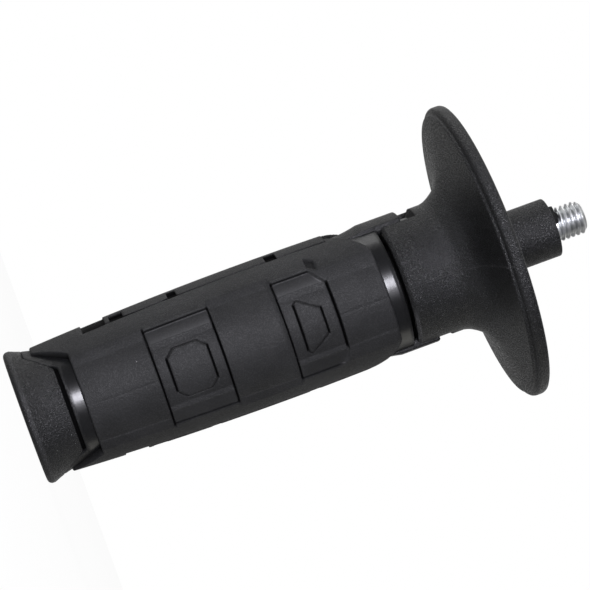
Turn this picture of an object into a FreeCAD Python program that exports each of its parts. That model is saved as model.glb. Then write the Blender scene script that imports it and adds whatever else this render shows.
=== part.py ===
import FreeCAD, Part
import math
import os

# Side handle for a hand-held grinder. It stands on its butt end, with the axis on +Z and the stud on top.
# A hard core carries a soft cover. A guard moulding with its steel stud is held in the core
# by two rubber dampers, so that the grip can tilt a little against the tool.
# The middle of the front gripping pad faces -Y. The two tabs of the core point to +X and -X.
# All sizes are millimetres. Heights are measured along +Z from the butt end.

# Grip core and butt cap
grip_length = 90.05
butt_r = 15.9
butt_edge = 1.0
butt_band = 1.7
flare_r = 15.05
flare_z = 3.9
neck_r = 13.9
neck_z = 10.0
core_r = 13.7
core_start_z = 14.0
collar_r = 15.15
collar_length = 11.05
swell_length = 11.0
core_edge = 0.3
cap_side_z = 4.2
cap_side_half = 5.0
cap_ear_z = 9.95
cap_ear_half = 9.9
cap_groove = 0.9
cap_floor = 3.0
spigot_top_z = 20.0
spigot_wall = 1.75
spigot_fit = 0.05

# Bores of the core
bore_r = 11.0
inner_collar_r = 8.2
inner_collar_length = 4.0
socket_r = 11.2
socket_depth = 14.05

# Tabs that reach over the gap into the guard
tab_half = 6.4
tab_r = 16.1
tab_wall = 2.1
tab_reach = 6.25
tab_ramp_setback = 3.15

# Soft cover, whose side is one gentle arc through three radii
cover_start_z = 6.3
cover_setback = 3.2
cover_start_r = 15.0
cover_mid_r = 16.57
cover_end_r = 16.3
cover_edge = 0.25
butt_window_z = 14.0
butt_window_half = 9.6
tongue_half = 4.3
saddle_half = 11.8
saddle_mid_half = 7.6
saddle_mid_drop = 3.35
saddle_low_half = 3.5
saddle_low_drop = 8.55

# Gripping pad: its two pockets, the shares that its first two blocks take of the rest, angles and depths
pocket_1_length = 15.95
pocket_2_length = 12.45
first_block_share = 0.389
middle_block_share = 0.335
pocket_2_corner = 3.3
pocket_2_half = 11.6
pocket_2_end_half = 8.2
pad_depth = 0.65
pocket_depth = 1.5
bench_depth = 1.05
shade_groove = 0.45
shade_depth = 0.4
pad_floor_deg = 37.0
pad_lip_deg = 46.5
middle_floor_deg = 42.5
middle_lip_deg = 50.5
end_floor_deg = 29.5
end_lip_deg = 42.5
pocket_floor_deg = 27.0
pocket_bench_deg = 31.5
pocket_step_deg = 43.9
pocket_step_depth = 0.4
pocket_lip_deg = 44.5

# Raised tiles on the pocket floors
tile_rise = 0.35
tile_1_half = 6.2
tile_1_start = 3.35
tile_1_length = 9.3
tile_1_corner = 1.8
tile_2_half = 6.8
tile_2_start = 3.5
tile_2_length = 5.4
tile_2_end_half = 3.4
tile_2_corner = 0.7

# Flat strip along each side of the cover
strip_half = 5.4
strip_groove = 0.5
strip_groove_depth = 0.3
strip_start_z = 19.0
side_recess_length = 5.4
side_recess_depth = 0.85
notch_depth = 0.9
notch_width = 4.0
notches = ((25.7, 3.1), (39.9, 2.0), (63.8, 2.5))

# Guard moulding
gap = 1.15
sleeve_r = 15.46
sleeve_length = 11.4
sleeve_bore_r = 12.0
sleeve_bore_depth = 8.3
sleeve_edge = 0.4
web = 3.7
bell_neck_rise = 6.2
bell_neck_out = 5.75
bell_r = 33.0
bell_rise = 2.45
neck_wall = 1.7
front_shelf_in = 0.2
front_flare_out = 1.6
front_flare_rise = 3.2
rim_draft = 0.4
bell_knee_share = 0.4
bell_knee_rise_share = 0.52
bell_wall = 2.65
rim_r = 35.7
rim_bead = 0.3
rim_bead_r = 34.3
rim_back_drop = 1.2
rim_length = 3.9
rim_edge = 0.8
rim_wall = 2.3
boss_r = 7.07
boss_length = 15.2
boss_edge = 0.7
seat_relief_out = 0.4
seat_relief_depth = 0.4
rib_count = 8
rib_width = 1.6
rib_height = 15.5
slot_fit = 0.3
slot_end_gap = 2.3
slot_end_ramp = 1.3
slot_wall = 1.7
stem_r = 6.5

# Stud, its moulded-in hexagon and its tail
stud_r = 4.0
stud_shank_r = 3.6
stud_relief = 0.5
stud_reach = 7.9
stud_chamfer = 1.0
collar_flats = 9.6
collar_height = 5.0
collar_below_seat = 13.5
tail_r = 3.0
tail_length = 10.5
tail_overlap = 2.0

# Dampers, washer and nut
damper_fit = 0.1
damper_waist = 1.7
rear_damper_length = 12.0
washer_r = 9.0
washer_height = 1.6
washer_fit = 0.1
nut_flats = 10.0
nut_hex_height = 4.6
nut_collar_r = 4.3
nut_height = 6.0

# Worked out from the sizes above
OUTSIDE = 60.0
CLEAR = 25.0
sleeve_z = grip_length + gap
collar_start_z = grip_length - collar_length
swell_start_z = collar_start_z - swell_length
tab_ramp_top_z = grip_length - tab_ramp_setback
cover_end_z = grip_length - cover_setback
saddle_mid_z = cover_end_z - saddle_mid_drop
saddle_low_z = cover_end_z - saddle_low_drop
bell_z = sleeve_z + sleeve_length
neck_out_r = sleeve_r + bell_neck_out
neck_top_z = bell_z + bell_neck_rise
bell_edge_z = neck_top_z + bell_rise
rim_back_z = bell_edge_z + rim_back_drop
rim_front_z = bell_edge_z + rim_length
boss_end_z = rim_front_z + boss_length
stud_tip_z = boss_end_z + stud_reach
web_back_z = sleeve_z + sleeve_bore_depth
web_front_z = web_back_z + web
tab_end_z = grip_length + tab_reach
tab_inner_r = tab_r - tab_wall
slot_end_z = tab_end_z + slot_end_gap
slot_floor_r = sleeve_bore_r + slot_wall
slot_top_z = slot_end_z + slot_end_ramp
socket_z = grip_length - socket_depth
inner_collar_z = socket_z - inner_collar_length
stem_end_z = inner_collar_z - rear_damper_length
blocks_length = cover_end_z - butt_window_z - pocket_1_length - pocket_2_length
pocket_1_z = butt_window_z + blocks_length * first_block_share
pocket_1_end_z = pocket_1_z + pocket_1_length
pocket_2_z = pocket_1_end_z + blocks_length * middle_block_share
pocket_2_end_z = pocket_2_z + pocket_2_length
cover_mid_z = (cover_start_z + cover_end_z) / 2
washer_z = stem_end_z - washer_height


def at(r, z):
    """Point at radius r and height z in the plane that every profile is drawn in."""
    return FreeCAD.Vector(r, 0, z)


def outline(start, *steps):
    """Closed face in that plane; a step is a point, or a pair of points for an arc through the first."""
    here = at(*start)
    edges = []
    for step in steps:
        if isinstance(step[0], tuple):
            end = at(*step[1])
            edges.append(Part.Arc(here, at(*step[0]), end).toShape())
        else:
            end = at(*step)
            edges.append(Part.LineSegment(here, end).toShape())
        here = end
    edges.append(Part.LineSegment(here, at(*start)).toShape())
    return Part.Face(Part.Wire(edges))


def turned(start, *steps):
    """Solid made by turning a closed profile about the handle's axis."""
    return outline(start, *steps).revolve(FreeCAD.Vector(), FreeCAD.Vector(0, 0, 1), 360)


def tube(r_in, r_out, z0, z1):
    """Plain ring between two radii and two heights."""
    return turned((r_in, z0), (r_out, z0), (r_out, z1), (r_in, z1))


def rod(r, z0, z1):
    """Plain cylinder on the axis."""
    return Part.makeCylinder(r, z1 - z0, at(0, z0))


def polygon(points):
    """Flat face on a closed list of vectors."""
    return Part.Face(Part.makePolygon(points + points[:1]))


def side_prism(points):
    """Prism that runs the whole width along X, from an outline of (y, z) points."""
    face = polygon([FreeCAD.Vector(-OUTSIDE, y, z) for y, z in points])
    return face.extrude(FreeCAD.Vector(2 * OUTSIDE, 0, 0))


def side_slab(half, z0, z1):
    """Box across the whole width, within half of the middle plane y = 0."""
    return side_prism([(-half, z0), (half, z0), (half, z1), (-half, z1)])


def hexagon(flats, z0, z1):
    """Hexagonal bar on the axis, with its size across flats."""
    corner = flats / math.sqrt(3)
    points = []
    for step in range(6):
        angle = math.radians(60 * step)
        points.append(FreeCAD.Vector(corner * math.cos(angle), corner * math.sin(angle), z0))
    return polygon(points).extrude(FreeCAD.Vector(0, 0, z1 - z0))


def both_sides(shape):
    """The shape and its copy turned half a turn about the axis."""
    copy = shape.copy()
    copy.rotate(FreeCAD.Vector(), FreeCAD.Vector(0, 0, 1), 180)
    return [shape, copy]


def hard_body():
    """Outer form that the butt cap and the core share, from the butt end to the gap."""
    flare_mid = ((flare_r + neck_r) / 2 - 0.12, (flare_z + neck_z) / 2)
    return turned(
        (0, 0),
        (butt_r - butt_edge, 0),
        (butt_r - butt_edge * 0.3, butt_edge * 0.3),
        (butt_r, butt_edge),
        (butt_r, butt_band),
        (flare_r, flare_z),
        (flare_mid, (neck_r, neck_z)),
        (core_r, core_start_z),
        (core_r, swell_start_z),
        (collar_r, collar_start_z),
        (collar_r, grip_length - core_edge),
        (collar_r - core_edge, grip_length),
        (0, grip_length),
    )


def cap_region():
    """Space below the joint line of cap and core: level in front and behind, lower at the sides."""
    return side_prism([
        (-CLEAR, -CLEAR), (-CLEAR, cap_ear_z), (-cap_ear_half, cap_ear_z),
        (-cap_side_half, cap_side_z), (cap_side_half, cap_side_z),
        (cap_ear_half, cap_ear_z), (CLEAR, cap_ear_z), (CLEAR, -CLEAR),
    ])


def joint_grooves():
    """Open stretches between cap and core, in front and behind."""
    top_z = cap_ear_z + cap_groove
    return both_sides(side_prism([
        (-CLEAR, cap_ear_z), (-cap_ear_half, cap_ear_z), (-cap_ear_half, top_z), (-CLEAR, top_z)]))


def butt_cap(body):
    """Flared cap with two ears, and the spigot that plugs into the core's bore."""
    spigot_r = bore_r - spigot_fit
    cap = body.common(cap_region()).fuse(rod(spigot_r, cap_floor / 2, spigot_top_z))
    return cap.cut(rod(spigot_r - spigot_wall, cap_floor, spigot_top_z + 1)).removeSplitter()


def tabs():
    """Two tabs that ramp up from the core's collar and reach over the gap."""
    ramp_mid = ((collar_r + tab_r) / 2 - 0.25, (collar_start_z + tab_ramp_top_z) / 2)
    ring = turned(
        (tab_inner_r, collar_start_z),
        (collar_r, collar_start_z),
        (ramp_mid, (tab_r, tab_ramp_top_z)),
        (tab_r, tab_end_z),
        (tab_inner_r, tab_end_z),
    )
    return ring.common(side_slab(tab_half, collar_start_z, tab_end_z))


def grip_core(body):
    """Hollow hard core, with the damper socket at its mouth and an inner collar behind it."""
    core = body.cut([cap_region()] + joint_grooves()).fuse(tabs())
    core = core.cut(rod(bore_r, -1, inner_collar_z))
    core = core.cut(rod(inner_collar_r, inner_collar_z - 1, socket_z + 1))
    return core.cut(rod(socket_r, socket_z, grip_length + 1)).removeSplitter()


def crown(depth):
    """Arc of the cover's side, sunk by depth."""
    return Part.Arc(
        at(cover_start_r - depth, cover_start_z),
        at(cover_mid_r - depth, cover_mid_z),
        at(cover_end_r - depth, cover_end_z),
    )


def cover_r(z):
    """Radius of the cover's side at height z."""
    arc = crown(0).toShape().Curve
    return arc.Center.x + math.sqrt(arc.Radius ** 2 - (z - arc.Center.z) ** 2)


def above_skin(depth):
    """Everything outside the cover's side sunk by depth."""
    return turned(
        (cover_start_r - depth, cover_start_z),
        ((cover_mid_r - depth, cover_mid_z), (cover_end_r - depth, cover_end_z)),
        (OUTSIDE, cover_end_z),
        (OUTSIDE, cover_start_z),
    )


def cover_blank():
    """Turned blank of the soft cover, with broken edges at both ends."""
    return turned(
        (0, cover_start_z),
        (cover_start_r - cover_edge, cover_start_z),
        (cover_r(cover_start_z + cover_edge), cover_start_z + cover_edge),
        ((cover_mid_r, cover_mid_z), (cover_r(cover_end_z - cover_edge), cover_end_z - cover_edge)),
        (cover_end_r - cover_edge, cover_end_z),
        (0, cover_end_z),
    )


def butt_windows():
    """Space in front of the cover at the butt, where the core stays bare between the two tongues."""
    front = side_prism([
        (-CLEAR, butt_window_z), (-butt_window_half, butt_window_z),
        (-tongue_half, cover_start_z), (-tongue_half, 0), (-CLEAR, 0),
    ])
    return both_sides(front)


def saddle():
    """Space over the sides of the cover, next to the guard, between its front and rear pads."""
    left = [FreeCAD.Vector(-OUTSIDE, -y, z) for y, z in (
        (saddle_half, cover_end_z), (saddle_mid_half, saddle_mid_z), (saddle_low_half, saddle_low_z))]
    right = [FreeCAD.Vector(p.x, -p.y, p.z) for p in reversed(left)]
    top = grip_length + CLEAR
    corners = [FreeCAD.Vector(-OUTSIDE, saddle_half, top), FreeCAD.Vector(-OUTSIDE, -saddle_half, top)]
    edges = [
        Part.Arc(*left).toShape(),
        Part.LineSegment(left[-1], right[0]).toShape(),
        Part.Arc(*right).toShape(),
        Part.LineSegment(right[-1], corners[0]).toShape(),
        Part.LineSegment(*corners).toShape(),
        Part.LineSegment(corners[1], left[0]).toShape(),
    ]
    return Part.Face(Part.Wire(edges)).extrude(FreeCAD.Vector(2 * OUTSIDE, 0, 0))


def pad_point(z, degrees, depth):
    """Point at height z, turned by an angle from the middle of the front pad, below the cover's side."""
    r = cover_r(z) - depth
    angle = math.radians(degrees)
    return FreeCAD.Vector(r * math.sin(angle), -r * math.cos(angle), z)


def trough_wire(z, floor_deg, lip_deg, depth, benches):
    """Section of the space above a pad: an arched floor, sloped flanks and the open front."""
    floor = [pad_point(z, side * floor_deg, depth) for side in (-1, 0, 1)]
    right = [floor[2]]
    for bench_deg, bench_drop in benches:
        right.append(pad_point(z, bench_deg, bench_drop))
    lip = pad_point(z, lip_deg, 0)
    right.append(lip + (lip - right[-1]) * 0.5)
    right.append(FreeCAD.Vector(right[-1].x, -CLEAR, z))
    left = [FreeCAD.Vector(-p.x, p.y, p.z) for p in reversed(right)]
    edges = [Part.Arc(*floor).toShape()]
    points = right + left
    for first, second in zip(points, points[1:]):
        edges.append(Part.LineSegment(first, second).toShape())
    return Part.Wire(edges)


def trough(z0, z1, floor_deg, lip_deg, depth, benches=()):
    """Space above a pad between two heights; floor_deg and lip_deg are the angles at both ends."""
    wires = []
    for z, floor_half, lip_half in ((z0, floor_deg[0], lip_deg[0]), (z1, floor_deg[1], lip_deg[1])):
        wires.append(trough_wire(z, floor_half, lip_half, depth, benches))
    return Part.makeLoft(wires, True, True)


def pocket(z0, z1, extra=0.0):
    """Deep trough with a sloped bench and a small step on each flank; extra sinks it further."""
    benches = ((pocket_bench_deg, bench_depth + extra), (pocket_step_deg, pocket_step_depth + extra))
    angles = (pocket_floor_deg, pocket_floor_deg)
    lips = (pocket_lip_deg, pocket_lip_deg)
    return trough(z0, z1, angles, lips, pocket_depth + extra, benches)


def front_prism(points):
    """Prism that cuts the front pad along Y, from the right half of an outline of (x, z) points."""
    right = [FreeCAD.Vector(x, -CLEAR, z) for x, z in points]
    left = [FreeCAD.Vector(-p.x, p.y, p.z) for p in reversed(right)]
    return polygon(right + left).extrude(FreeCAD.Vector(0, CLEAR, 0))


def pad_cuts():
    """Troughs and pockets of the front pad."""
    corner_z = pocket_2_end_z - pocket_2_corner
    half_hexagon = front_prism([
        (CLEAR, pocket_2_z),
        (CLEAR, corner_z),
        (pocket_2_half, corner_z),
        (pocket_2_end_half, pocket_2_end_z),
    ])
    first = trough(butt_window_z - CLEAR / 2, pocket_1_z,
                   (pad_floor_deg, pad_floor_deg), (pad_lip_deg, pad_lip_deg), pad_depth)
    middle = trough(pocket_1_end_z, pocket_2_z,
                    (middle_floor_deg, middle_floor_deg), (middle_lip_deg, middle_lip_deg), pad_depth)
    last = trough(corner_z, cover_end_z + 1,
                  (end_floor_deg, end_floor_deg), (end_lip_deg, end_lip_deg), pad_depth)
    pockets = [
        pocket(pocket_1_z, pocket_1_end_z),
        pocket(pocket_1_z, pocket_1_z + shade_groove, shade_depth),
        pocket(pocket_1_end_z - shade_groove, pocket_1_end_z, shade_depth),
        pocket(pocket_2_z, pocket_2_end_z).common(half_hexagon),
        pocket(pocket_2_z, pocket_2_z + shade_groove, shade_depth),
        pocket(pocket_2_end_z - shade_groove, pocket_2_end_z, shade_depth).common(half_hexagon),
    ]
    return [first, middle, last] + pockets


def tile(points):
    """Raised tile on a pocket floor and the narrow groove round it, as (tile, groove)."""
    outer = front_prism(points)
    ring = above_skin(pocket_depth + shade_groove).cut(above_skin(pocket_depth - tile_rise))
    grown = []
    middle_z = sum(z for _, z in points) / len(points)
    for x, z in points:
        grown.append((x + shade_groove, z + math.copysign(shade_groove, z - middle_z)))
    trench = front_prism(grown).cut(outer).common(above_skin(pocket_depth + shade_depth))
    return outer.common(ring), trench


def tiles():
    """Tiles of both pockets."""
    z1 = pocket_1_z + tile_1_start
    z2 = z1 + tile_1_length
    first = tile([
        (tile_1_half - tile_1_corner, z1), (tile_1_half, z1 + tile_1_corner),
        (tile_1_half, z2 - tile_1_corner), (tile_1_half - tile_1_corner, z2)])
    z3 = pocket_2_z + tile_2_start
    z4 = z3 + tile_2_length
    second = tile([
        (tile_2_half - tile_2_corner, z3), (tile_2_half, z3 + tile_2_corner), (tile_2_end_half, z4)])
    return [first, second]


def strip_cuts():
    """Fine grooves, recess and small notches along both sides of the cover."""
    top_z = saddle_low_z
    wide = side_slab(strip_half, strip_start_z, top_z)
    narrow = side_slab(strip_half - strip_groove, strip_start_z - 1, top_z + 1)
    cuts = [wide.cut(narrow).common(above_skin(strip_groove_depth))]
    recess = side_slab(strip_half, strip_start_z, strip_start_z + side_recess_length)
    cuts.append(recess.common(above_skin(side_recess_depth)))
    for z, height in notches:
        middle = side_slab(strip_half - notch_width, z - 1, z + height + 1)
        pair = side_slab(strip_half, z, z + height).cut(middle)
        cuts.append(pair.common(above_skin(notch_depth)))
    return cuts


def grip_cover(core, cap):
    """Soft cover moulded round the core, with its windows, pads, pockets and tiles."""
    cover = cover_blank().cut(butt_windows() + [saddle()] + strip_cuts())
    fronts = []
    for cutter in pad_cuts():
        fronts += both_sides(cutter)
    cover = cover.cut(fronts)
    for raised, trench in tiles():
        cover = cover.cut(both_sides(trench))
        cover = cover.fuse(both_sides(raised))
    solid_core = core.fuse([rod(socket_r, 0, grip_length), cap])
    return cover.cut(solid_core).removeSplitter()


def threaded_stud():
    """Steel stud: full size where it stands out, thinner in the moulding, with a hexagon and a tail."""
    tip = Part.makeCone(stud_r, stud_r - stud_chamfer, stud_chamfer, at(0, stud_tip_z - stud_chamfer))
    thread_z = boss_end_z + stud_relief
    outside = rod(stud_r, thread_z, stud_tip_z - stud_chamfer)
    shank = rod(stud_shank_r, stem_end_z + tail_overlap, thread_z)
    tail = rod(tail_r, stem_end_z - tail_length, stem_end_z + tail_overlap)
    collar_z = boss_end_z - collar_below_seat
    collar = hexagon(collar_flats, collar_z - collar_height, collar_z)
    return shank.fuse([outside, tip, tail, collar]).removeSplitter()


def guard_blank():
    """Turned form of the guard: stem, sleeve, bell, rim and boss in one profile."""
    shelf_r = sleeve_bore_r - front_shelf_in
    inner_neck_r = neck_out_r - neck_wall
    knee_r = neck_out_r + (bell_r - neck_out_r) * bell_knee_share
    rim_in_r = rim_r - rim_wall
    return turned(
        (0, stem_end_z),
        (stem_r, stem_end_z),
        (stem_r, web_back_z),
        (sleeve_bore_r, web_back_z),
        (sleeve_bore_r, sleeve_z + sleeve_edge),
        (sleeve_bore_r + sleeve_edge, sleeve_z),
        (sleeve_r - sleeve_edge, sleeve_z),
        (sleeve_r, sleeve_z + sleeve_edge),
        (sleeve_r, bell_z),
        ((sleeve_r + bell_neck_out * 0.3, bell_z + bell_neck_rise * 0.69), (neck_out_r, neck_top_z)),
        (knee_r, neck_top_z + bell_rise * bell_knee_rise_share),
        (bell_r, bell_edge_z),
        (rim_bead_r, bell_edge_z - rim_bead),
        (rim_r - rim_edge * 0.5, bell_edge_z + 0.1),
        (rim_r, rim_back_z),
        (rim_r, rim_front_z - rim_edge),
        (rim_r - rim_edge, rim_front_z),
        (rim_in_r, rim_front_z),
        (rim_in_r - rim_draft, bell_edge_z + bell_wall),
        (inner_neck_r, neck_top_z + bell_wall * 0.9),
        (shelf_r + front_flare_out, bell_z + front_flare_rise),
        (shelf_r, web_front_z),
        (boss_r, web_front_z),
        (boss_r, boss_end_z - boss_edge),
        (boss_r - boss_edge, boss_end_z),
        (0, boss_end_z),
    )


def guard_ribs():
    """Radial ribs between the boss and the rim, on the side that faces the tool."""
    inner_r = (boss_r + collar_flats / math.sqrt(3)) / 2
    outer_r = rim_r - rim_wall / 2
    face = outline(
        (inner_r, web_back_z + web / 2),
        (sleeve_bore_r, web_back_z + web / 2),
        (neck_out_r - 1, neck_top_z + bell_wall / 2),
        (outer_r, bell_edge_z + bell_wall / 2),
        (outer_r, rim_front_z - rim_edge),
        (boss_r, web_front_z + rib_height),
        (inner_r, web_front_z + rib_height),
    )
    rib = face.extrude(FreeCAD.Vector(0, rib_width, 0))
    rib.translate(FreeCAD.Vector(0, -rib_width / 2, 0))
    ribs = []
    for step in range(rib_count):
        copy = rib.copy()
        copy.rotate(FreeCAD.Vector(), FreeCAD.Vector(0, 0, 1), 360 * (step + 0.5) / rib_count)
        ribs.append(copy)
    return ribs


def guard_flange(stud):
    """Guard moulding, with slots for the core's tabs that ramp out at their ends, and a clear stud foot."""
    half = tab_half + slot_fit
    slots = turned(
        (slot_floor_r, sleeve_z - 1),
        (OUTSIDE, sleeve_z - 1),
        (OUTSIDE, slot_top_z),
        (sleeve_r, slot_top_z),
        (slot_floor_r, slot_end_z),
    )
    guard = guard_blank().fuse(guard_ribs())
    guard = guard.cut(slots.common(side_slab(half, sleeve_z - 1, slot_top_z)))
    seat_relief = rod(stud_r + seat_relief_out, boss_end_z - seat_relief_depth, boss_end_z + 1)
    return guard.cut([stud, seat_relief]).removeSplitter()


def front_damper():
    """Waisted rubber bush between the core's socket and the guard's sleeve."""
    inner_r = stem_r + damper_fit
    socket_side_r = socket_r - damper_fit
    sleeve_side_r = sleeve_bore_r - damper_fit
    middle_z = grip_length + gap / 2
    half_waist = damper_waist + gap / 2
    return turned(
        (inner_r, socket_z + damper_fit),
        (socket_side_r, socket_z + damper_fit),
        (socket_side_r, middle_z - half_waist),
        (socket_side_r - damper_waist, middle_z),
        (sleeve_side_r, middle_z + half_waist),
        (sleeve_side_r, web_back_z - damper_fit),
        (inner_r, web_back_z - damper_fit),
    )


def rear_damper():
    """Rubber ring behind the inner collar, held up by the washer."""
    low_z = stem_end_z + damper_fit
    return tube(stem_r + damper_fit, bore_r - damper_fit, low_z, inner_collar_z - damper_fit)


def retaining_washer():
    """Steel washer under the stem, wider than the inner collar, so that the grip can't come off."""
    return tube(tail_r + washer_fit, washer_r, washer_z, stem_end_z)


def lock_nut():
    """Lock nut on the stud's tail, with its round locking collar."""
    low_z = washer_z - nut_height
    nut = hexagon(nut_flats, washer_z - nut_hex_height, washer_z).fuse(rod(nut_collar_r, low_z, washer_z))
    return nut.cut(rod(tail_r, low_z - 1, washer_z + 1)).removeSplitter()


def build():
    """Every piece of the handle by the name of its node."""
    body = hard_body()
    stud = threaded_stud()
    core = grip_core(body)
    cap = butt_cap(body)
    return {
        "butt_cap": cap,
        "grip_core": core,
        "grip_cover": grip_cover(core, cap),
        "front_damper": front_damper(),
        "rear_damper": rear_damper(),
        "retaining_washer": retaining_washer(),
        "lock_nut": lock_nut(),
        "threaded_stud": stud,
        "guard_flange": guard_flange(stud),
    }


os.makedirs("parts", exist_ok=True)
for node, shape in build().items():
    shape.exportStep("parts/" + node + ".step")
    box = shape.BoundBox
    print(node, shape.isValid(), len(shape.Solids), round(shape.Volume, 1),
          round(box.ZMin, 2), round(box.ZMax, 2), round(box.XMax, 2), round(box.YMax, 2))
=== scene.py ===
"""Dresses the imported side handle: soft cover, hard core, butt cap, guard moulding and threaded stud.

Lengths inside the classes are millimetres and become metres only when a mesh is written. Heights run
along +Z from the butt end. Angles are taken from the middle of the front gripping pad, which faces -Y.
"""

import logging
import math
from dataclasses import dataclass
from enum import Enum

import bpy
import numpy as np
from mathutils import Matrix, Vector

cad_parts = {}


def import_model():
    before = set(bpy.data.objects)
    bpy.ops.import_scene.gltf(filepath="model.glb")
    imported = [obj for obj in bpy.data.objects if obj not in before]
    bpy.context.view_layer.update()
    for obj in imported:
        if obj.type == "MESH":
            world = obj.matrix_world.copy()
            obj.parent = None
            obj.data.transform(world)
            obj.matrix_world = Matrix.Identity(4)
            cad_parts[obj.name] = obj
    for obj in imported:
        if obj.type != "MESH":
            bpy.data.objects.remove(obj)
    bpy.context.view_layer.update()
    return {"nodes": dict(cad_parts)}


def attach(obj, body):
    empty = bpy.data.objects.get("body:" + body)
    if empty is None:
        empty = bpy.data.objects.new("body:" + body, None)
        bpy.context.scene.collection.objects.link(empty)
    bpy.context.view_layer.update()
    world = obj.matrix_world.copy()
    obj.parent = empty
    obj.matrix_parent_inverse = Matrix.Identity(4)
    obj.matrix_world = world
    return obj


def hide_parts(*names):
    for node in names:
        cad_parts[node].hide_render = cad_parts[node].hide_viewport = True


LOG = logging.getLogger("side_handle")
Array, Socket, Piece = np.ndarray, bpy.types.NodeSocket, bpy.types.Object
MM = 0.001
ACROSS_EDGE = np.array([-1.0, -0.34, 0.34, 1.0])
WHITE, COOL, WARM = (1.0, 1.0, 1.0), (0.92, 0.915, 1.0), (1.0, 0.98, 0.90)
# SHADE_BLACK, SHADE_SHARE and SHADE_ROUGHNESS paint shade black into hollows; DUST_PALE is the colour of real
# dust specks.
SHADE_BLACK, DUST_PALE = (0.0012, 0.0012, 0.0013), (0.35, 0.35, 0.36)
# Grey painted into the stud's thread roots as shade.
ROOT_SHADE_GREY = (0.24, 0.25, 0.26)
SHADE_SHARE, SHADE_ROUGHNESS = 0.85, 0.85


# ---- Surfaces ----


def ramp(x: Array, width: float) -> Array:
    """Smooth step from 0 to 1, centred on x = 0: t squared times (3 - 2t), t = x / width + 1/2."""
    t = np.clip(x / width + 0.5, 0.0, 1.0)
    return t * t * (3.0 - 2.0 * t)


def band(x: Array, low: float, high: float, width: float) -> Array:
    """Soft mask of the stretch from low to high: a rising ramp times a falling one, each as wide as width."""
    return ramp(x - low, width) * ramp(high - x, width)


def lines(start: float, stop: float, step: float, edges: tuple = (), spread: float = 0.14,
          creases: tuple = ()) -> Array:
    """Positions of grid lines: an even run, four close lines across each edge, and one on each crease.

    Args:
        start: first line.
        stop: last line.
        step: spacing of the even run.
        edges: positions of steps in the surface.
        spread: how far the outer close lines stand from an edge.
        creases: positions where only the slope changes.

    Returns:
        Sorted positions; even lines that would crowd a close line are left out.
    """
    even = np.linspace(start, stop, max(2, int(round((stop - start) / step)) + 1))
    outside = start - 9.0
    close = (np.asarray(edges, float)[:, None] + spread * ACROSS_EDGE[None, :]).ravel()
    close = np.concatenate([close, np.asarray(creases, float), [outside]])
    crowded = np.abs(even[:, None] - close[None, :]).min(1) < spread * 0.8
    crowded[[0, -1]] = False
    close = close[(close > start) & (close < stop)]
    every = np.unique(np.concatenate([even[~crowded], close]))
    keep = np.concatenate([[True], np.diff(every) > spread * 0.3])
    keep[-1] = True
    return every[keep]


def arc_radius(z: Array, low: tuple, middle: tuple, high: tuple) -> Array:
    """Radius at height z of the circle through three (r, z) points.

    The centre (a, b) solves the two perpendicular-bisector equations, and r = a + sqrt(R^2 - (z - b)^2).

    Args:
        z: heights.
        low: first point.
        middle: second point.
        high: third point.

    Returns:
        Radii on the outer side of the circle.
    """
    p, q, s = (np.asarray(v, float) for v in (low, middle, high))
    lhs = 2.0 * np.array([q - p, s - p])
    rhs = np.array([q @ q - p @ p, s @ s - p @ p])
    centre = np.linalg.solve(lhs, rhs)
    radius = np.linalg.norm(p - centre)
    side = 1.0 if p[0] > centre[0] else -1.0
    return centre[0] + side * np.sqrt(np.maximum(radius ** 2 - (z - centre[1]) ** 2, 0.0))


def curve_through(points: list, count: int) -> Array:
    """Smooth run through (r, z) points: a centripetal Hermite cubic in each span.

    Args:
        points: points that the run passes through.
        count: samples in each span.

    Returns:
        Array of (r, z) samples that starts and ends on the outer points.
    """
    p = np.asarray(points, float)
    chord = np.sqrt(np.linalg.norm(np.diff(p, axis=0), axis=1))
    knot = np.concatenate([[0.0], np.cumsum(chord)])
    slope = np.gradient(p, knot, axis=0)
    t = np.linspace(0.0, 1.0, count, endpoint=False)[None, :, None]
    h = np.diff(knot)[:, None, None]
    a, b = p[:-1, None, :], p[1:, None, :]
    ma, mb = slope[:-1, None, :] * h, slope[1:, None, :] * h
    run = ((2 * t**3 - 3 * t**2 + 1) * a + (t**3 - 2 * t**2 + t) * ma
           + (3 * t**2 - 2 * t**3) * b + (t**3 - t**2) * mb)
    return np.vstack([run.reshape(-1, 2), p[-1]])


def rounded(points: list, radius: float, count: int = 4) -> Array:
    """Profile of straight runs whose corners are quadratic curves: (1-t)^2 A + 2t(1-t) P + t^2 B.

    Args:
        points: corners, in (r, z).
        radius: how far each curve starts from its corner, at most 0.45 of the shorter run.
        count: samples on each curve.

    Returns:
        Array of (r, z) samples.
    """
    p = np.asarray(points, float)
    before, corner, after = p[:-2], p[1:-1], p[2:]
    d0, d1 = before - corner, after - corner
    l0 = np.linalg.norm(d0, axis=1, keepdims=True)
    l1 = np.linalg.norm(d1, axis=1, keepdims=True)
    cut = np.minimum(radius, 0.45 * np.minimum(l0, l1))
    a, b = corner + d0 / l0 * cut, corner + d1 / l1 * cut
    t = np.linspace(0.0, 1.0, count)[None, :, None]
    bend = (1 - t) ** 2 * a[:, None] + 2 * t * (1 - t) * corner[:, None] + t**2 * b[:, None]
    return np.vstack([p[:1], bend.reshape(-1, 2), p[-1:]])


def subdivided(profile: Array, step: float) -> Array:
    """Profile with even points added along its long runs, by linear interpolation along its length.

    Args:
        profile: (r, z) samples.
        step: longest run that stays undivided.

    Returns:
        The profile with the added samples, its own samples kept.
    """
    length = np.concatenate([[0.0], np.cumsum(np.linalg.norm(np.diff(profile, axis=0), axis=1))])
    every = np.unique(np.concatenate([length, np.arange(0.0, length[-1], step)]))
    keep = np.concatenate([[True], np.diff(every) > 1e-3])
    every = every[keep]
    return np.stack([np.interp(every, length, profile[:, 0]), np.interp(every, length, profile[:, 1])], 1)


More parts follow.
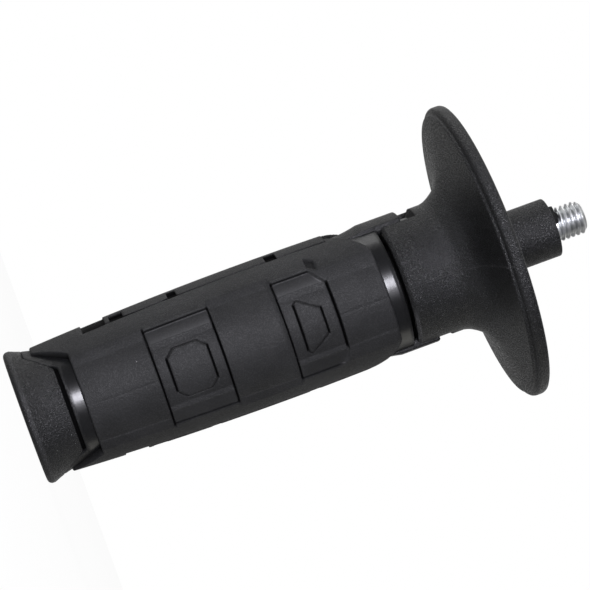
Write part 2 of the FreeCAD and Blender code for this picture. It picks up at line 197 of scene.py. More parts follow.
def ring_angles(count: int, half: float, reach: float, extra: tuple = ()) -> Array:
    """Angles of grid columns: an even run, and five close ones at each edge of the openings on both sides.

    Args:
        count: columns of the even run.
        half: degrees from the middle of a side to an edge.
        reach: degrees from an edge to its outer close columns.
        extra: more angles, in degrees.

    Returns:
        Sorted angles in radians.
    """
    close = np.add.outer([90 - half, 90 + half, 270 - half, 270 + half], reach * np.linspace(-1, 1, 5))
    even = np.linspace(0, 360, count, endpoint=False)
    return np.radians(np.unique(np.concatenate([even, close.ravel(), extra])))


def turn(r: Array, z: Array, theta: Array) -> Array:
    """Points of a turned surface on a (rows, columns) grid: x = r sin(theta), y = -r cos(theta), z = z."""
    t = np.broadcast_to(theta[None, :], r.shape)
    return np.stack([r * np.sin(t), -r * np.cos(t), np.broadcast_to(z, r.shape)], axis=2)


class Ends(Enum):
    """How the first and last rows of a ring surface are closed."""

    LOOP = "rows join into a closed loop"
    POLES = "each end row is filled by a fan to a point on the axis"


def ring_faces(rows: int, columns: int, ends: Ends) -> tuple:
    """Faces of a grid that closes round its columns. The quad (i, j) joins rows i, i+1 and columns j, j+1.

    Args:
        rows: rows of the grid.
        columns: columns of the grid.
        ends: how the end rows close.

    Returns:
        Quads as an (n, 4) array and fan triangles as an (m, 3) array.
    """
    last = rows if ends is Ends.LOOP else rows - 1
    i, j = np.meshgrid(np.arange(last), np.arange(columns), indexing="ij")
    i2, j2 = (i + 1) % rows, (j + 1) % columns
    quads = np.stack([i * columns + j, i * columns + j2, i2 * columns + j2, i2 * columns + j], -1)
    quads = quads.reshape(-1, 4)
    if ends is Ends.LOOP:
        return quads, np.zeros((0, 3), int)
    k = np.arange(columns)
    k2 = (k + 1) % columns
    low, high, top = rows * columns, rows * columns + 1, (rows - 1) * columns
    fan_low = np.stack([np.full(columns, low), k2, k], 1)
    fan_high = np.stack([np.full(columns, high), top + k, top + k2], 1)
    return quads, np.vstack([fan_low, fan_high])


@dataclass
class Mesh:
    """Vertices in millimetres with quads and triangles, before it becomes a Blender mesh."""

    points: Array
    quads: Array
    triangles: Array
    finish: Array

    @classmethod
    def ring(cls, grid: Array, ends: Ends, painted_shade: Array = 0.0, edge_highlight: Array = 0.0,
             polish: Array = 0.0) -> "Mesh":
        """Mesh of a (rows, columns, 3) grid that closes round its columns.

        Args:
            grid: the points.
            ends: how the end rows close.
            painted_shade: share from 0 to 1 of shade painted black into a groove or hollow, for each grid
                point.
            edge_highlight: share from 0 to 1 of pale highlight painted along lit edges, for each grid point.
            polish: share from 0 to 1 of smooth gloss, for each grid point.

        Returns:
            The mesh. With poles, each pole is on the axis at the height of its row's mean.
        """
        rows, columns = grid.shape[:2]
        points = grid.reshape(-1, 3)
        shares = [np.broadcast_to(share, (rows, columns)) for share in (painted_shade, edge_highlight, polish)]
        finish = np.stack(shares, 2).reshape(-1, 3)
        if ends is Ends.POLES:
            poles = np.array([[0.0, 0.0, grid[0, :, 2].mean()], [0.0, 0.0, grid[-1, :, 2].mean()]])
            points = np.vstack([points, poles])
            finish = np.vstack([finish, np.zeros((2, 3))])
        quads, triangles = ring_faces(rows, columns, ends)
        return cls(points, quads, triangles, finish)

    @classmethod
    def tube(cls, grid: Array) -> "Mesh":
        """Plain mesh of a ring grid, each end row filled by a fan to the row's own middle."""
        quads, fans = ring_faces(*grid.shape[:2], Ends.POLES)
        points = np.vstack([grid.reshape(-1, 3), grid[0].mean(0), grid[-1].mean(0)])
        return cls(points, quads, fans, np.zeros_like(points))

    def joined(self, other: "Mesh") -> "Mesh":
        """This mesh and another as one."""
        n = len(self.points)
        pairs = ((self.points, other.points), (self.quads, other.quads + n),
                 (self.triangles, other.triangles + n), (self.finish, other.finish))
        return Mesh(*(np.vstack(pair) for pair in pairs))

    def turned_by(self, degrees: float) -> "Mesh":
        """A copy turned about the axis."""
        a = math.radians(degrees)
        m = np.array([[math.cos(a), -math.sin(a), 0], [math.sin(a), math.cos(a), 0], [0, 0, 1]])
        return Mesh(self.points @ m.T, self.quads, self.triangles, self.finish)

    def make(self, name: str) -> Piece:
        """Blender object of this mesh, in metres, with smooth faces.

        Args:
            name: the piece's name.

        Returns:
            The linked object.
        """
        data = bpy.data.meshes.new(name)
        data.from_pydata((self.points * MM).tolist(), [], self.quads.tolist() + self.triangles.tolist())
        # The "finish" attribute holds painted shade, painted edge highlight and polish for each point.
        shares = data.attributes.new("finish", "FLOAT_COLOR", "POINT")
        shares.data.foreach_set("color", np.hstack([self.finish, np.ones((len(self.finish), 1))]).ravel())
        data.validate()
        data.polygons.foreach_set("use_smooth", np.ones(len(data.polygons), bool))
        data.update()
        piece = bpy.data.objects.new(name, data)
        bpy.context.scene.collection.objects.link(piece)
        LOG.info("%s: %d points, %d faces", name, len(data.vertices), len(data.polygons))
        return piece


# ---- Finishes ----


@dataclass
class Nodes:
    """Short hand for building one node tree."""

    tree: bpy.types.NodeTree

    def add(self, kind: str, **values: object) -> bpy.types.Node:
        """New node, from its kind, its properties, and its inputs as feed() takes them."""
        node = self.tree.nodes.new(kind)
        for name in [key for key in values if not key.startswith("at_")]:
            setattr(node, name, values.pop(name))
        return self.feed(node, **values)

    def feed(self, node: bpy.types.Node, **values: object) -> bpy.types.Node:
        """Links or sets inputs of a node.

        Args:
            node: the node.
            values: sockets or plain values, each as at_NAME with its spaces as underscores, or as at_NUMBER.

        Returns:
            The node.
        """
        for name, value in values.items():
            key = name.removeprefix("at_")
            socket = node.inputs[int(key) if key.isdigit() else key.replace("_", " ")]
            if isinstance(value, Socket):
                self.tree.links.new(value, socket)
            else:
                socket.default_value = value
        return node

    def math(self, operation: str, a: object, b: object = 0.0, clamp: bool = False) -> Socket:
        """Result of a Math node."""
        return self.add("ShaderNodeMath", operation=operation, use_clamp=clamp, at_0=a, at_1=b).outputs[0]

    def times(self, a: object, b: object) -> Socket:
        """Product of two values."""
        return self.math("MULTIPLY", a, b)

    def step(self, value: object, low: float, high: float) -> Socket:
        """Smooth step of a value between two limits."""
        return self.add("ShaderNodeMapRange", interpolation_type="SMOOTHSTEP", at_Value=value,
                        at_From_Min=low, at_From_Max=high).outputs["Result"]

    def mix_color(self, share: object, first: object, second: object) -> Socket:
        """Colour that goes from the first to the second as the share rises."""
        ends = [(*value, 1.0) if isinstance(value, tuple) else value for value in (first, second)]
        return self.add("ShaderNodeMix", data_type="RGBA", at_0=share, at_6=ends[0], at_7=ends[1]).outputs[2]

    def mix_value(self, share: object, first: object, second: object) -> Socket:
        """Number that goes from the first to the second as the share rises."""
        return self.add("ShaderNodeMix", data_type="FLOAT", at_0=share, at_2=first, at_3=second).outputs[0]


def new_group(name: str, inputs: dict, *outputs: str) -> tuple:
    """Empty shader node group. Its sockets are numbers, or a vector where the default is None.

    Args:
        name: the group's name.
        inputs: socket name to default.
        outputs: socket names.

    Returns:
        The tree's Nodes, the sockets that come in, and its output node.
    """
    tree = bpy.data.node_groups.new(name, "ShaderNodeTree")
    for label, default in inputs.items():
        kind = "NodeSocketVector" if default is None else "NodeSocketFloat"
        socket = tree.interface.new_socket(label, in_out="INPUT", socket_type=kind)
        if default is not None:
            socket.default_value = default
    for label in outputs:
        tree.interface.new_socket(label, in_out="OUTPUT", socket_type="NodeSocketFloat")
    nodes = Nodes(tree)
    return nodes, nodes.add("NodeGroupInput").outputs, nodes.add("NodeGroupOutput")


def grain_group() -> bpy.types.NodeTree:
    """Fine surface grain: two sizes of noise as one height, its brightest facets, and a slow mottle."""
    inputs = {"Vector": None, "Fine": 4000.0, "Coarse": 900.0, "Slow": 90.0}
    n, given, out = new_group("moulded_grain", inputs, "Height", "Sparkle", "Mottle")
    fine, coarse, slow = (
        n.add("ShaderNodeTexNoise", at_Vector=given["Vector"], at_Scale=given[size], at_Detail=detail,
              at_Roughness=rough).outputs["Fac"]
        for size, detail, rough in (("Fine", 2.0, 0.6), ("Coarse", 1.0, 0.5), ("Slow", 3.0, 0.6)))
    n.feed(out, at_Height=n.math("ADD", fine, n.times(coarse, 0.5)), at_Sparkle=n.step(fine, 0.44, 0.66),
           at_Mottle=n.step(slow, 0.35, 0.65))
    return n.tree


def dust_group() -> bpy.types.NodeTree:
    """Sparse pale specks: cells of a Voronoi pattern whose own random value is low, near their centres."""
    inputs = {"Vector": None, "Scale": 700.0, "Share": 0.03, "Size": 0.07}
    n, given, out = new_group("dust_specks", inputs, "Mask")
    cell = n.add("ShaderNodeTexVoronoi", at_Vector=given["Vector"], at_Scale=given["Scale"]).outputs
    value = n.add("ShaderNodeSeparateColor", at_Color=cell["Color"]).outputs[0]
    rare = n.math("LESS_THAN", value, given["Share"])
    n.feed(out, at_Mask=n.times(rare, n.math("LESS_THAN", cell["Distance"], given["Size"])))
    return n.tree


def emptied(owner: bpy.types.ID) -> Nodes:
    """Nodes of a material or world, all taken out."""
    owner.use_nodes = True
    owner.node_tree.nodes.clear()
    return Nodes(owner.node_tree)


def shade_highlight_polish_shares(n: Nodes) -> tuple:
    """Painted shade, painted edge highlight and polish shares, read from the piece's "finish" attribute."""
    color = n.add("ShaderNodeAttribute", attribute_name="finish").outputs["Color"]
    return tuple(n.add("ShaderNodeSeparateColor", at_Color=color).outputs)


@dataclass(frozen=True)
class Moulded:
    """Finish of a moulded plastic or rubber piece.

    Each piece's "finish" attribute holds how much painted shade, painted edge highlight and polish each point
    has. Polish smooths the grain away and adds a clear gloss on top. Painted shade turns the surface to a
    black metal, which takes its sheen away as well. Painted highlight pales the colour along lit edges.
    """

    name: str
    color: tuple
    color_high: tuple
    roughness: float
    sparkle: float
    specular: float
    grain_depth: float
    fine: float
    coarse: float
    specks: float = 0.0
    # Paler colour that paints a highlight along lit edges.
    edge_highlight_color: tuple = (0.055, 0.055, 0.057)
    polished_roughness: float = 0.30
    gloss_roughness: float = 0.20
    gloss: float = 0.30

    def build(self, grain: bpy.types.NodeTree, dust: bpy.types.NodeTree) -> bpy.types.Material:
        """Material with mottled colour and painted glints, painted shade in hollows, painted highlight on lit
        edges, varied roughness, grain as bump and a few specks.

        Args:
            grain: the grain group.
            dust: the specks group.

        Returns:
            The material.
        """
        material, n, shader = start_material(self.name, at_Specular_IOR_Level=self.specular,
                                             at_Coat_Roughness=self.gloss_roughness)
        place = n.add("ShaderNodeTexCoord").outputs["Object"]
        painted_shade, edge_highlight, polish = shade_highlight_polish_shares(n)
        height, sparkle, mottle = n.add("ShaderNodeGroup", node_tree=grain, at_Vector=place,
                                        at_Fine=self.fine, at_Coarse=self.coarse).outputs
        specks = n.add("ShaderNodeGroup", node_tree=dust, at_Vector=place, at_Share=self.specks).outputs[0]
        # Tone from the slow mottle and the grain's bright facets: random grain tone, which also paints small
        # glints into the colour.
        tone_and_glints = n.math("ADD", n.times(mottle, 0.35), n.times(sparkle, 0.65))
        base = n.mix_color(tone_and_glints, self.color, self.color_high)
        # Painted highlight: the colour turns paler along lit edges.
        base = n.mix_color(n.times(edge_highlight, n.math("ADD", sparkle, 0.35, True)), base, self.edge_highlight_color)
        # Painted shade: hollows turn to black metal, so their colour and sheen go dark.
        base = n.mix_color(n.times(painted_shade, SHADE_SHARE), base, SHADE_BLACK)
        base = n.mix_color(specks, base, DUST_PALE)
        swing = n.times(n.math("SUBTRACT", sparkle, 0.4), -self.sparkle)
        rough = n.mix_value(painted_shade, n.math("ADD", swing, self.roughness, True), SHADE_ROUGHNESS)
        n.feed(shader, at_Base_Color=base, at_Roughness=n.mix_value(polish, rough, self.polished_roughness),
               at_Metallic=n.times(painted_shade, SHADE_SHARE), at_Coat_Weight=n.times(polish, self.gloss))
        height = n.times(height, n.math("SUBTRACT", 1.0, polish, True))
        bump = n.add("ShaderNodeBump", at_Height=height, at_Strength=1.0, at_Distance=self.grain_depth * MM)
        n.feed(shader, at_Normal=bump.outputs[0])
        return material


@dataclass(frozen=True)
class Plated:
    """Finish of a zinc-plated steel piece."""

    name: str
    color: tuple
    roughness: float

    def build(self, grain: bpy.types.NodeTree) -> bpy.types.Material:
        """Metal with a slightly uneven sheen and shade painted grey into the thread roots."""
        material, n, shader = start_material(self.name, at_Metallic=1.0)
        place = n.add("ShaderNodeTexCoord").outputs["Object"]
        mottle = n.add("ShaderNodeGroup", node_tree=grain, at_Vector=place, at_Fine=5000.0, at_Coarse=1500.0,
                       at_Slow=500.0).outputs["Mottle"]
        tint = n.mix_color(mottle, tuple(c * 0.86 for c in self.color), self.color)
        # Painted shade: the thread roots turn grey.
        root_shade = n.times(shade_highlight_polish_shares(n)[0], 0.6)
        n.feed(shader, at_Base_Color=n.mix_color(root_shade, tint, ROOT_SHADE_GREY),
               at_Roughness=n.math("ADD", n.times(mottle, 0.08), self.roughness))
        return material


def start_material(name: str, **inputs: object) -> tuple:
    """New material with its Nodes and its Principled shader, some of whose inputs are given."""
    material = bpy.data.materials.new(name)
    n = emptied(material)
    shader = n.add("ShaderNodeBsdfPrincipled", **inputs)
    n.add("ShaderNodeOutputMaterial", at_Surface=shader.outputs[0])
    return material, n, shader


SOFT_COVER = Moulded("soft_cover_rubber", (0.010, 0.0101, 0.0106), (0.021, 0.0212, 0.0222), 0.54, 0.14, 0.30,
                     0.120, 3400.0, 800.0, specks=0.006, polished_roughness=0.42, gloss_roughness=0.35)
HARD_PLASTIC = Moulded("hard_plastic_textured", (0.0045, 0.0046, 0.0050), (0.012, 0.0124, 0.0134), 0.36, 0.36,
                       0.38, 0.230, 3200.0, 1400.0, specks=0.003)
CORE_PLASTIC = Moulded("core_plastic", (0.0045, 0.0046, 0.0050), (0.011, 0.0113, 0.0122), 0.42, 0.20, 0.32,
                       0.140, 3400.0, 1500.0)
DAMPER_RUBBER = Moulded("damper_rubber_plain", (0.010, 0.010, 0.010), (0.018, 0.018, 0.018), 0.7, 0.1, 0.3,
                        0.02, 3000.0, 700.0)
ZINC_STEEL = Plated("zinc_steel_bright", (0.93, 0.94, 0.95), 0.36)


# ---- Pieces ----


@dataclass
class GripCover:
    """Soft cover: one radius field over height and angle, with its pads, pockets, tiles and strips cut in."""

    start_z: float = 6.3
    end_z: float = 86.85
    start_r: float = 15.0
    mid_r: float = 16.57
    end_r: float = 16.3
    hidden_r: float = 13.0
    inner_r: float = 12.6
    window_z: float = 14.0
    window_half: float = 9.6
    tongue_half: float = 4.3
    saddle: tuple = ((11.8, 86.85), (7.6, 83.5), (3.5, 78.3))
    pocket_1: tuple = (31.3, 47.25)
    pocket_2: tuple = (62.15, 74.6)
    corner_z: float = 71.3
    pocket_2_half: float = 11.6
    pocket_2_end_half: float = 8.2
    pad_depth: float = 0.65
    pocket_depth: float = 1.5
    bench_depth: float = 1.05
    lip_step: tuple = (43.9, 44.5, 0.4)
    trench: float = 0.45
    trench_depth: float = 0.5
    tile_rise: float = 0.35
    edge: float = 0.26
    corner_r: float = 3.4
    strip_half: float = 5.4
    strip_z: tuple = (19.0, 78.3)
    recess_z: tuple = (19.0, 24.4)
    recess_depth: float = 0.85
    notches: tuple = ((25.7, 28.8), (39.9, 41.9), (63.8, 66.3))
    notch_inner: float = 1.4
    notch_depth: float = 0.9
    diamond_depth: float = 0.5
    strip_line: float = 0.3
    seam_depth: float = 0.05
    row_runs: tuple = ((6.3, 14.5, 0.27), (14.5, 34.0, 1.5), (34.0, 37.0, 0.4), (37.0, 41.6, 1.3),
                       (41.6, 44.6, 0.4), (44.6, 65.0, 1.5), (65.0, 75.0, 0.34), (75.0, 78.0, 0.9),
                       (78.0, 86.85, 0.25))
    column_runs: tuple = ((0.0, 10.0, 2.4), (10.0, 46.0, 1.05), (46.0, 78.5, 0.80), (78.5, 90.0, 1.7))

    def skin(self, z: Array) -> Array:
        """Radius of the uncut side: the circle through the start, middle and end radii."""
        middle_z = (self.start_z + self.end_z) / 2
        return arc_radius(z, (self.start_r, self.start_z), (self.mid_r, middle_z), (self.end_r, self.end_z))

    def across(self, phi: Array, *stops: tuple) -> Array:
        """Depth across a pad: straight runs between (degrees, depth) stops."""
        return np.interp(phi, [s[0] for s in stops], [s[1] for s in stops])

    def polygon_inside(self, x: Array, z: Array, corners: list) -> tuple:
        """Signed distance inside a convex outline: the least of its distances to the edge lines.

        Args:
            x: sideways distance.
            z: heights.
            corners: (x, z) corners, anticlockwise.

        Returns:
            Distance, positive inside, and a weight: 1 next to a level edge and less beside a slanted one.
        """
        best = np.full(np.broadcast(x, z).shape, 1e3)
        weight = np.ones_like(best)
        for (x0, z0), (x1, z1) in zip(corners, corners[1:] + corners[:1]):
            distance = ((x1 - x0) * (z - z0) - (z1 - z0) * (x - x0)) / math.hypot(x1 - x0, z1 - z0)
            weight = np.where(distance < best, 1.0 if z0 == z1 else 0.45, weight)
            best = np.minimum(best, distance)
        return best, weight

    def tile_distances(self, x: Array, z: Array) -> list:
        """Signed distances inside the two raised tiles, each with its edge weight."""
        plate = [(-4.4, 34.65), (4.4, 34.65), (6.2, 36.45), (6.2, 42.15), (4.4, 43.95), (-4.4, 43.95),
                 (-6.2, 42.15), (-6.2, 36.45)]
        half_hexagon = [(-6.1, 65.65), (6.1, 65.65), (6.8, 66.35), (3.4, 71.05), (-3.4, 71.05), (-6.8, 66.35)]
        return [self.polygon_inside(x, z, plate), self.polygon_inside(x, z, half_hexagon)]

    def trenches(self, x: Array, z: Array) -> Array:
        """Share of narrow trench from 0 to 1: along the ends of the pockets and round the tiles."""
        t, w = self.trench, 0.13
        p1, p2 = self.pocket_1, self.pocket_2
        firsts = sum(band(z, low, low + t, w) for low in (p1[0], p1[1] - t, p2[0]))
        last = band(z, p2[1] - t, p2[1] + 0.05, w) * ramp(self.pocket_2_end_half + 0.4 - np.abs(x), 0.3)
        shares = (firsts + last) * ramp(11.9 - np.abs(x), 0.5)
        for inside, weight in self.tile_distances(x, z):
            shares = np.maximum(shares, weight * band(-inside, 0.0, t * (0.5 + 0.5 * weight), w))
        return np.clip(shares, 0.0, 1.0)

    def in_pockets(self, x: Array, z: Array) -> Array:
        """Share from 0 to 1 of being in a pocket. Pocket 2 has one slanted and one round corner."""
        w = self.edge
        p1, p2 = self.pocket_1, self.pocket_2
        rise = p2[1] - self.corner_z
        slope = (self.pocket_2_half - self.pocket_2_end_half) / rise
        slant = (self.pocket_2_half - np.maximum(z - self.corner_z, 0.0) * slope - np.abs(x)) * 0.70
        slant = np.where(z < self.corner_z, 5.0, slant)
        r = self.corner_r
        across = np.maximum(np.abs(x) - (self.pocket_2_half - r), 0.0)
        round_off = r - np.hypot(across, np.maximum(z - (p2[1] - r), 0.0))
        round_off = np.where(z < p2[1] - r, 5.0, round_off)
        corner = np.where(x < 0.0, slant, round_off)
        return np.maximum(band(z, *p1, w), band(z, *p2, w) * ramp(corner, w))

    def pad_cut(self, x: Array, z: Array, phi: Array) -> Array:
        """Depth of the pads: the deepest of three shallow troughs and two pockets, less the tiles."""
        w, d = self.edge, self.pad_depth
        p1, p2 = self.pocket_1, self.pocket_2
        first = self.across(phi, (37.0, d), (46.5, 0.0)) * ramp(p1[0] - z, w)
        middle = self.across(phi, (42.5, d), (50.5, 0.0)) * band(z, p1[1], p2[0], w)
        last = self.across(phi, (29.5, d), (42.5, 0.0)) * ramp(z - self.corner_z, w)
        step, lip, lip_depth = self.lip_step
        deep = self.across(phi, (27.0, self.pocket_depth), (31.5, self.bench_depth), (step, lip_depth),
                           (lip, 0.0))
        cut = np.maximum.reduce([first, middle, last, deep * self.in_pockets(x, z)])
        for inside, _ in self.tile_distances(x, z):
            cut = cut - self.tile_rise * ramp(inside, 0.18)
        return cut + self.trench_depth * self.trenches(x, z) + self.diamond_depth * self.diamond(x, z, phi)

    def diamond(self, x: Array, z: Array, phi: Array) -> Array:
        """Share from 0 to 1 of the small notch beside pocket 2, which slants to the middle with the height."""
        middle = 49.8 - 2.75 * (z - 72.5)
        return band(phi - middle, -4.9, 4.9, 0.9) * band(z, 71.5, 73.5, 0.2) * (x < 0.0)

    def side_cut(self, y: Array, z: Array) -> Array:
        """Depth on the sides: the recess, the notches and the two fine grooves that frame the strip."""
        edge_line = band(np.abs(y), self.strip_half - 0.5, self.strip_half, 0.2)
        cut = self.strip_line * edge_line * band(z, *self.strip_z, 0.2)
        recess = self.recess_depth * ramp(self.strip_half - np.abs(y), 0.3) * band(z, *self.recess_z, 0.3)
        cut = np.maximum(cut, recess)
        for low, high in self.notches:
            notch = band(np.abs(y), self.notch_inner, self.strip_half, 0.25) * band(z, low, high, 0.25)
            cut = np.maximum(cut, self.notch_depth * notch)
        return cut

    def absent(self, y: Array, z: Array) -> Array:
        """Signed distance into the butt windows and saddles, positive where the core is bare."""
        a = np.abs(y)
        slope = (self.window_half - self.tongue_half) / (self.window_z - self.start_z)
        lean = math.hypot(1.0, slope)
        window = np.minimum(self.window_z - z, (a - self.tongue_half - (z - self.start_z) * slope) / lean)
        top, mid, low = self.saddle
        reach = arc_radius(np.clip(z, low[1], top[1]), top, mid, low)
        saddle = np.minimum(z - low[1], (reach - a) * 0.72)
        return np.maximum(window, saddle)

    def places(self, z: Array, theta: Array) -> tuple:
        """Where each grid point lies, from a column of heights and a row of angles.

        Returns:
            The side's radius, the distance x across the nearer pad with its sign as on the front pad, the
            distance y from the middle of the side, and the degrees phi from the middle of the nearer pad.
        """
        side = self.skin(z)
        y = side * np.cos(theta)
        x = side * np.sin(theta) * np.sign(y)
        phi = np.degrees(np.arcsin(np.clip(np.abs(np.sin(theta)), 0, 1))) + 0.0 * z
        return side, x, y, phi

    def radius(self, z: Array, theta: Array) -> Array:
        """Radius field: the side less its cuts, diving under the core where there is no cover."""
        side, x, y, phi = self.places(z, theta)
        r = side - np.maximum(self.pad_cut(x, z, phi), self.side_cut(y, z))
        plain = np.maximum(band(z, 17.6, 31.0, 0.4), ramp(z - 75.0, 0.4))
        r = r - self.seam_depth * band(phi, -1.0, 0.45, 0.5) * plain * (y > 0)
        ends = np.minimum(z - self.start_z, self.end_z - z)
        r = r - 0.25 * ramp(0.12 - ends, 0.3)
        bare = ramp(self.absent(y, z), self.edge)
        return r + (self.hidden_r - r) * bare

    def shares(self, z: Array, theta: Array) -> tuple:
        """Share of painted shade in trenches, lips, notches and walls, share of painted highlight along
        creases, polish share of the pockets' flanks.
        """
        _, x, y, phi = self.places(z, theta)
        pockets = self.in_pockets(x, z)
        step = self.lip_step[0]
        # Painted shade: black in the trenches, under the pocket lips, at the window walls, in the diamond
        # notch and in the side recess and notches.
        lip = band(phi, step - 0.7, step + 0.5, 0.5) * pockets
        walls = ramp(self.absent(y, z) + 0.05, 0.15)
        painted_shade = self.trenches(x, z) + 0.8 * lip + walls + 0.4 * self.diamond(x, z, phi)
        painted_shade = np.clip(painted_shade + (self.side_cut(y, z) > 0.2), 0, 1)
        # Painted highlight: pale lines along the creases of the lower pad edges, above the upper pocket lip
        # and on the bench crease.
        first = band(phi, 36.6, 37.6, 0.5) * ramp(31.0 - z, 0.3) * ramp(z - 14.2, 0.3)
        middle = band(phi, 42.1, 43.0, 0.5) * band(z, 47.5, 62.0, 0.3)
        last = band(phi, 29.1, 30.1, 0.5) * ramp(z - 74.8, 0.3)
        above_lip = band(phi, step + 0.9, step + 2.4, 0.5) * pockets * (x < 0)
        lower = 0.5 * (first + middle + last) * (x > 0)
        polish = band(phi, 31.8, step - 1.0, 0.5) * pockets
        edge_highlight = np.clip(lower + 0.35 * above_lip + 0.25 * band(phi, 31.1, 31.8, 0.4) * pockets, 0, 1)
        return painted_shade, edge_highlight, 0.9 * polish

    def columns(self) -> Array:
        """Angles of the grid's columns, finer on the front pad than on the rear one."""
        halves = []
        for share in (1.0, 1.6):
            quarter = np.unique(np.concatenate([
                lines(low, high, step * share, (22.3, 24.0, 26.3, 44.2, 71.0, 72.7, 85.1), 0.5,
                      (27.0, 29.5, 31.5, 37.0, 42.5, 46.5, 50.5)) for low, high, step in self.column_runs]))
            halves.append(quarter)
        front = np.concatenate([-halves[0][:0:-1], [-0.5, 0.0, 0.5], halves[0][1:]])
        rear = np.concatenate([180.0 - halves[1][-2::-1], 180.0 + halves[1][1:-1]])
        return np.radians(np.concatenate([front, rear]))

    def build(self) -> Piece:
        """The cover as one closed ring surface."""
        p1, p2, t = self.pocket_1, self.pocket_2, self.trench
        edges = (p1[0], p1[0] + t, p1[1] - t, p1[1], p2[0], p2[0] + t, p2[1] - t, p2[1], self.window_z,
                 self.corner_z, 34.2, 34.65, 43.95, 44.4, 65.2, 65.65, 71.05, 71.5, *self.strip_z,
                 self.recess_z[1], *[v for notch in self.notches for v in notch])
        z = np.unique(np.concatenate([lines(*run, edges) for run in self.row_runs]))
        theta = self.columns()
        r = self.radius(z[:, None], theta[None, :])
        inner = np.full((2, len(theta)), self.inner_r)
        r_all = np.vstack([r, inner])
        z_all = np.concatenate([z, [self.end_z, self.start_z]])[:, None]
        shares = [np.vstack([s, 0 * inner]) for s in self.shares(z[:, None], theta[None, :])]
        return Mesh.ring(turn(r_all, z_all, theta), Ends.LOOP, *shares).make("cover_skin")


@dataclass
class HardBody:
    """Outer form that the butt cap and the core share, as one radius over height."""

    length: float = 90.05
    butt_r: float = 15.9
    core_r: float = 13.7
    collar_r: float = 15.15
    collar_z: float = 79.0
    swell_z: float = 68.0

    def radius(self, z: Array) -> Array:
        """Radius at a height: straight runs, and one hollow curve between flare and neck."""
        flare = curve_through([(15.9, 1.7), (15.05, 3.9), (14.45, 6.2), (14.02, 8.6), (13.86, 10.0),
                               (13.7, 14.0)], 8)
        heights = np.concatenate([[0.0], flare[:, 1], [self.swell_z, self.collar_z, self.length]])
        radii = np.concatenate([[self.butt_r], flare[:, 0], [self.core_r, self.collar_r, self.collar_r]])
        return np.interp(z, heights, radii)


@dataclass
class ButtCap:
    """Flared butt cap with two ears, closed by a plain face on the joint side."""

    body: HardBody
    side_z: float = 4.2
    side_half: float = 5.0
    ear_z: float = 9.95
    ear_half: float = 9.9
    spigot_r: float = 10.9
    spigot_z: float = 20.0
    rim_z: float = 1.0
    columns: int = 240

    def joint_z(self, theta: Array, r: float = 14.3) -> Array:
        """Height of the joint line: low at the sides, high in front and behind, sloped between."""
        y = np.abs(r * np.cos(theta))
        return np.interp(y, [self.side_half, self.ear_half], [self.side_z, self.ear_z])

    def build(self) -> Piece:
        """The cap, from the middle of the butt face out, up its side, and in over the joint face."""
        theta = np.linspace(0, 2 * np.pi, self.columns, endpoint=False)
        top = self.joint_z(theta)[None, :]
        face = np.array([2.0, 6.0, 10.0, 13.0, 14.4, 14.9, 15.25, 15.55, 15.78, 15.9])[:, None]
        face_z = np.array([0.0, 0.0, 0.0, 0.0, 0.0, 0.04, 0.14, 0.34, 0.66, 1.0])[:, None]
        ones = np.ones_like(top)
        share = np.linspace(0.0, 1.0, 34)[1:, None]
        side_z = self.rim_z + (top - self.rim_z) * share
        side_r = self.body.radius(side_z)
        soften = np.array([[0.0], [0.04], [0.14]])
        lip_z = np.vstack([top - 0.14, top - 0.03, top])
        lip_r = self.body.radius(lip_z) - soften
        inner_z = np.vstack([top, top, top, self.spigot_z * ones, self.spigot_z * ones])
        inner_r = np.array([13.4, 12.5, self.spigot_r, self.spigot_r, 9.3])[:, None] * ones
        side_z, side_r = side_z[:-1], side_r[:-1]
        r = np.vstack([face * ones, side_r, lip_r, inner_r])
        z = np.vstack([face_z * ones, side_z, lip_z, inner_z])
        # Painted shade on the joint face and spigot inside the groove, and a painted highlight as a paler band
        # round the rounded butt rim.
        painted_shade = (r < 13.5) & (z > self.side_z)
        edge_highlight = 0.45 * band(z, 0.9, 1.9, 0.5) * (r > 15.5)
        return Mesh.ring(turn(r, z, theta), Ends.POLES, painted_shade, edge_highlight).make("cap_shell")


